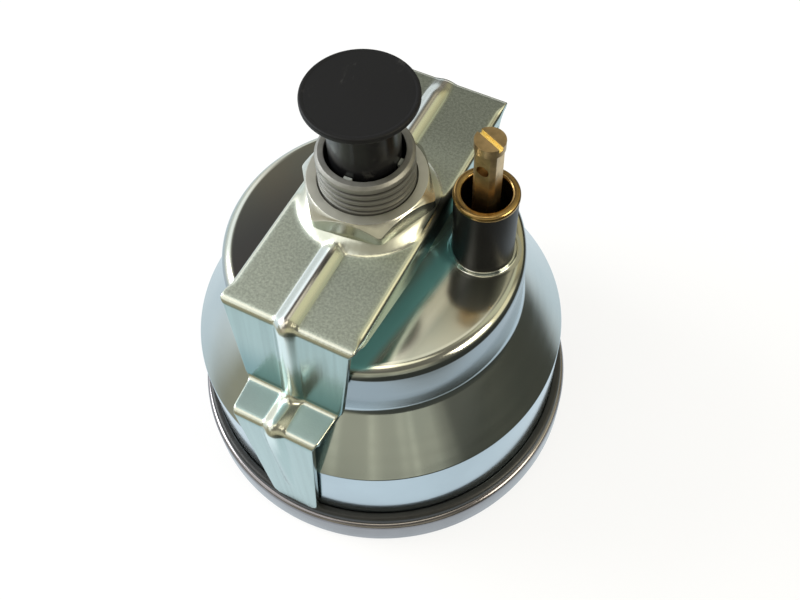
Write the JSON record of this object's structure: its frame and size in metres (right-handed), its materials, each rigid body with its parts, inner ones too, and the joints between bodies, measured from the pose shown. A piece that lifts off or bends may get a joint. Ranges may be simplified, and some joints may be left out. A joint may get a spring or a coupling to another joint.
{
  "type": "vehicle speedometer",
  "caption": "Round magnetic speedometer for a dash hole, seen from behind: steel case, clamp bracket with nut, threaded cable boss with dust plug and brass trip reset.",
  "frame": {"origin": "centre of the bezel's front face", "axes": "+Z from the bezel to the drive cable boss, Y along the mounting bracket, X towards the trip reset"},
  "size_m": [0.0852, 0.0854, 0.0975],
  "materials": {
    "case": "polished",
    "bezel": "satin",
    "lens": "gloss",
    "rubber": "matte",
    "black": "matte",
    "dial": "matte",
    "dark_steel": "satin",
    "steel": "satin",
    "casting": "satin",
    "zinc": "satin",
    "tube": "gloss",
    "brass": "satin",
    "bronze": "satin",
    "jewel": "satin",
    "spring": "satin",
    "bracket": "satin",
    "nut": "satin",
    "plug": "matte",
    "magnet": "satin",
    "aluminium": "satin",
    "pointer": "satin",
    "nylon": "satin",
    "drum": "matte",
    "reset_brass": "satin"
  },
  "bodies": {
    "body": {"case_shell": "case", "bezel": "bezel", "lens": "lens", "lens_gasket": "rubber", "visor_ring": "black", "dash_seal": "rubber", "dial": "dial", "dial_screws": "dark_steel", "zero_stop_pin": "steel", "drive_boss": "casting", "case_screws": "zinc", "reset_tube": "tube", "reset_ferrule": "brass", "rear_plate": "casting", "front_plate": "casting", "frame_pillars": "brass", "drive_bush": "bronze", "spindle_bridge": "casting", "bridge_screws": "dark_steel", "spindle_bush": "jewel", "hairspring": "spring", "hairspring_stud": "brass", "odometer_shaft": "steel", "odometer_carry_shaft": "steel", "trip_carry_shaft": "steel"},
    "bracket": {"mounting_bracket": "bracket"},
    "nut": {"mounting_nut": "nut"},
    "plug": {"dust_plug": "plug"},
    "drive": {"drive_shaft": "steel", "drive_circlip": "dark_steel", "field_cup": "steel", "magnet": "magnet"},
    "speed": {"speed_cup": "aluminium", "pointer_spindle": "steel", "hairspring_collet": "brass", "pointer": "pointer", "pointer_cap": "black"},
    "cross": {"cross_shaft": "nylon"},
    "trip_cross": {"trip_cross_shaft": "nylon"},
    "riser": {"odometer_riser": "nylon"},
    "trip_riser": {"trip_riser": "nylon"},
    "drum_1": {"odometer_drive_wheel": "nylon", "odometer_drum_1": "drum"},
    "drum_2": {"odometer_drum_2": "drum"},
    "drum_3": {"odometer_drum_3": "drum"},
    "drum_4": {"odometer_drum_4": "drum"},
    "drum_5": {"odometer_drum_5": "drum"},
    "carry_1": {"odometer_carry_pinion_1": "nylon"},
    "carry_2": {"odometer_carry_pinion_2": "nylon"},
    "carry_3": {"odometer_carry_pinion_3": "nylon"},
    "carry_4": {"odometer_carry_pinion_4": "nylon"},
    "trip_wheel": {"trip_drive_wheel": "nylon"},
    "reset": {"reset_shaft": "reset_brass", "reset_pinion": "brass"},
    "trip_counter": {"trip_shaft": "steel", "trip_crown_wheel": "nylon", "trip_drum_1": "drum", "trip_drum_2": "drum", "trip_drum_3": "drum"},
    "trip_carry": {"trip_carry_pinions": "nylon"}
  },
  "joints": [
    {"name": "drive_spin", "type": "hinge", "parent": "body", "child": "drive", "pos_m": [0, 0, 0.06], "axis": [0, 0, 1], "continuous": true},
    {"name": "pointer_swing", "type": "hinge", "parent": "body", "child": "speed", "pos_m": [0, 0, 0.02], "axis": [0, 0, 1], "range_deg": [0, 270], "stiffness_Nm_per_rad": 0.00002},
    {"name": "bracket_lift", "type": "slide", "parent": "body", "child": "bracket", "axis": [0, 0, 1], "range_m": [0, 0.0075]},
    {"name": "nut_turn", "type": "hinge", "parent": "bracket", "child": "nut", "pos_m": [0, 0, 0.074], "axis": [0, 0, 1], "range_deg": [0, 1800]},
    {"name": "plug_pull", "type": "slide", "parent": "body", "child": "plug", "axis": [0, 0, 1], "range_m": [0, 0.03]},
    {"name": "cross_spin", "type": "hinge", "parent": "body", "child": "cross", "pos_m": [-0.0075, 0, 0.0448], "axis": [0, 1, 0], "continuous": true},
    {"name": "trip_cross_spin", "type": "hinge", "parent": "body", "child": "trip_cross", "pos_m": [0.0075, 0, 0.0448], "axis": [0, 1, 0], "continuous": true},
    {"name": "riser_spin", "type": "hinge", "parent": "body", "child": "riser", "pos_m": [-0.015, -0.0112, 0.04], "axis": [0, 0, 1], "continuous": true},
    {"name": "trip_riser_spin", "type": "hinge", "parent": "body", "child": "trip_riser", "pos_m": [0.014, -0.0102, 0.04], "axis": [0, 0, 1], "continuous": true},
    {"name": "drum_1_spin", "type": "hinge", "parent": "body", "child": "drum_1", "pos_m": [-0.0225, -0.0072, 0.0172], "axis": [0, 1, 0], "continuous": true},
    {"name": "drum_2_spin", "type": "hinge", "parent": "body", "child": "drum_2", "pos_m": [-0.0225, -0.0036, 0.0172], "axis": [0, 1, 0], "continuous": true},
    {"name": "drum_3_spin", "type": "hinge", "parent": "body", "child": "drum_3", "pos_m": [-0.0225, 0, 0.0172], "axis": [0, 1, 0], "continuous": true},
    {"name": "drum_4_spin", "type": "hinge", "parent": "body", "child": "drum_4", "pos_m": [-0.0225, 0.0036, 0.0172], "axis": [0, 1, 0], "continuous": true},
    {"name": "drum_5_spin", "type": "hinge", "parent": "body", "child": "drum_5", "pos_m": [-0.0225, 0.0072, 0.0172], "axis": [0, 1, 0], "continuous": true},
    {"name": "carry_1_spin", "type": "hinge", "parent": "body", "child": "carry_1", "pos_m": [-0.02948, -0.0054, 0.02045], "axis": [0, 1, 0], "continuous": true},
    {"name": "carry_2_spin", "type": "hinge", "parent": "body", "child": "carry_2", "pos_m": [-0.02948, -0.0018, 0.02045], "axis": [0, 1, 0], "continuous": true},
    {"name": "carry_3_spin", "type": "hinge", "parent": "body", "child": "carry_3", "pos_m": [-0.02948, 0.0018, 0.02045], "axis": [0, 1, 0], "continuous": true},
    {"name": "carry_4_spin", "type": "hinge", "parent": "body", "child": "carry_4", "pos_m": [-0.02948, 0.0054, 0.02045], "axis": [0, 1, 0], "continuous": true},
    {"name": "trip_wheel_spin", "type": "hinge", "parent": "body", "child": "trip_wheel", "pos_m": [0.0203, -0.0102, 0.0166], "axis": [0, 1, 0], "continuous": true},
    {"name": "reset_turn", "type": "hinge", "parent": "body", "child": "reset", "pos_m": [0.0203, 0.0075, 0.06], "axis": [0, 0, 1], "continuous": true},
    {"name": "trip_counter_spin", "type": "hinge", "parent": "body", "child": "trip_counter", "pos_m": [0.0203, 0, 0.0166], "axis": [0, 1, 0], "continuous": true},
    {"name": "trip_carry_spin", "type": "hinge", "parent": "body", "child": "trip_carry", "pos_m": [0.02664, 0, 0.01956], "axis": [0, 1, 0], "continuous": true}
  ],
  "couplings": [
    {"joint": "nut_turn", "follows": "bracket_lift", "rad_per_m": 4188.8},
    {"joint": "cross_spin", "follows": "drive_spin", "ratio": 0.05},
    {"joint": "trip_cross_spin", "follows": "drive_spin", "ratio": -0.05},
    {"joint": "riser_spin", "follows": "drive_spin", "ratio": -0.0025},
    {"joint": "trip_riser_spin", "follows": "drive_spin", "ratio": -0.0025},
    {"joint": "drum_1_spin", "follows": "drive_spin", "ratio": -0.00010417},
    {"joint": "drum_2_spin", "follows": "drive_spin", "ratio": -0.000010417},
    {"joint": "drum_3_spin", "follows": "drive_spin", "ratio": -0.0000010417},
    {"joint": "drum_4_spin", "follows": "drive_spin", "ratio": -0.00000010417},
    {"joint": "drum_5_spin", "follows": "drive_spin", "ratio": -0.000000010417},
    {"joint": "carry_1_spin", "follows": "drive_spin", "ratio": 0.000026042},
    {"joint": "carry_2_spin", "follows": "drive_spin", "ratio": 0.0000026042},
    {"joint": "carry_3_spin", "follows": "drive_spin", "ratio": 0.00000026042},
    {"joint": "carry_4_spin", "follows": "drive_spin", "ratio": 0.000000026042},
    {"joint": "trip_wheel_spin", "follows": "drive_spin", "ratio": 0.00010417},
    {"joint": "trip_counter_spin", "follows": "reset_turn", "ratio": 0.5},
    {"joint": "trip_carry_spin", "follows": "reset_turn", "ratio": -1.25}
  ]
}
